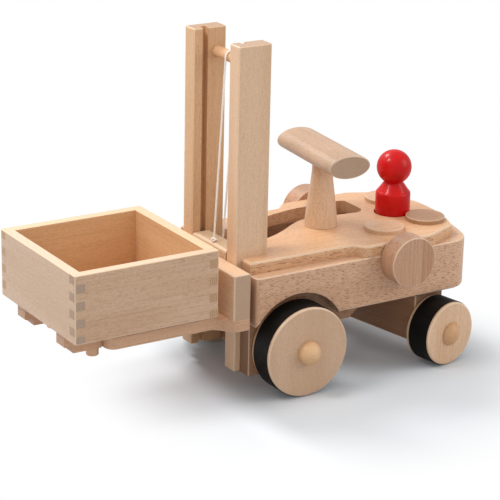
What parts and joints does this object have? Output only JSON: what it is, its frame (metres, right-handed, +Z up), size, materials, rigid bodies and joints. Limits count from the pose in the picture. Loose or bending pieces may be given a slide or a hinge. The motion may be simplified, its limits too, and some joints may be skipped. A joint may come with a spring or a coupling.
{
  "type": "toy forklift",
  "caption": "Wooden toy forklift with a mast, cord winch, sliding fork, lift-off load box, steering handle, pivoting rear axle and a peg driver.",
  "frame": {"origin": "on the floor, under the middle of the overall length and width", "axes": "+Z up, -Y towards the forks, +X towards the vehicle's left"},
  "size_m": [0.1966, 0.4134, 0.3075],
  "materials": {
    "beech": "satin oiled beech",
    "dowel": "satin beech dowel",
    "tyre": "satin black rubber",
    "red_lacquer": "gloss red lacquer on wood",
    "cord": "white twisted cord"
  },
  "bodies": {
    "chassis": {"mast_post_left": "beech", "mast_post_right": "beech", "mast_top_rod": "dowel", "cord_guide_rod": "dowel", "side_panel_left": "beech", "side_panel_right": "beech", "inner_cheek_left": "beech", "inner_cheek_right": "beech", "front_axle_block": "beech", "column_rail": "beech", "rear_pivot_block": "beech", "deck_plate": "beech", "deck_disc_front": "beech", "deck_disc_rear_left": "beech", "deck_disc_rear_right": "beech", "cord_over_mast": "cord"},
    "front_axle": {"front_axle": "dowel", "front_hub_cap_left": "beech", "front_hub_cap_right": "beech", "front_tyre_left": "tyre", "front_tyre_right": "tyre", "front_wheel_left": "beech", "front_wheel_right": "beech"},
    "bolster": {"rear_bolster": "beech", "steering_fork": "beech", "pivot_pin": "dowel", "pivot_washer": "beech"},
    "rear_axle": {"rear_axle": "dowel", "rear_hub_cap_left": "beech", "rear_hub_cap_right": "beech", "rear_tyre_left": "tyre", "rear_tyre_right": "tyre", "rear_wheel_left": "beech", "rear_wheel_right": "beech"},
    "winch": {"winch_axle": "dowel", "winch_knob_left": "beech", "winch_knob_right": "beech", "cord_coil": "cord"},
    "carriage": {"carriage_board": "beech", "carriage_slider": "beech", "fork_plate": "beech", "cord_lift_run": "cord"},
    "load_box": {"box_floor": "beech", "box_front_wall": "beech", "box_peg_left": "dowel", "box_peg_right": "dowel", "box_rear_wall": "beech", "box_runner_left": "beech", "box_runner_right": "beech", "box_side_wall_left": "beech", "box_side_wall_right": "beech"},
    "handle": {"handle_column": "beech", "handlebar": "beech", "steering_arm": "beech", "steering_link_pin": "dowel"},
    "driver": {"driver_figure": "red_lacquer"}
  },
  "joints": [
    {"name": "winch_turn", "type": "hinge", "parent": "chassis", "child": "winch", "pos_m": [0, 0.1169, 0.106], "axis": [1, 0, 0], "range_deg": [-600, 1725]},
    {"name": "carriage_lift", "type": "slide", "parent": "chassis", "child": "carriage", "axis": [0, 0, 1], "range_m": [-0.052, 0.15], "deforming": ["cord_lift_run"]},
    {"name": "box_lift", "type": "slide", "parent": "carriage", "child": "load_box", "axis": [0, 0, 1], "range_m": [0, 0.06]},
    {"name": "front_axle_spin", "type": "hinge", "parent": "chassis", "child": "front_axle", "pos_m": [0, 0.0098, 0.0412], "axis": [1, 0, 0], "continuous": true},
    {"name": "handle_turn", "type": "hinge", "parent": "chassis", "child": "handle", "pos_m": [0, 0.0772, 0.12], "axis": [0, 0, 1], "range_deg": [-6.5, 18.5]},
    {"name": "rear_steer", "type": "hinge", "parent": "chassis", "child": "bolster", "pos_m": [0, 0.1465, 0.06], "axis": [0, 0, 1], "range_deg": [-33, 12]},
    {"name": "rear_axle_spin", "type": "hinge", "parent": "bolster", "child": "rear_axle", "pos_m": [0, 0.1465, 0.0299], "axis": [0.9833, 0.1822, 0], "continuous": true},
    {"name": "driver_lift", "type": "slide", "parent": "chassis", "child": "driver", "axis": [0, 0, 1], "range_m": [0, 0.03]}
  ],
  "couplings": [
    {"joint": "winch_turn", "follows": "carriage_lift", "rad_per_m": 200},
    {"joint": "rear_steer", "follows": "handle_turn", "ratio": -1.75}
  ]
}
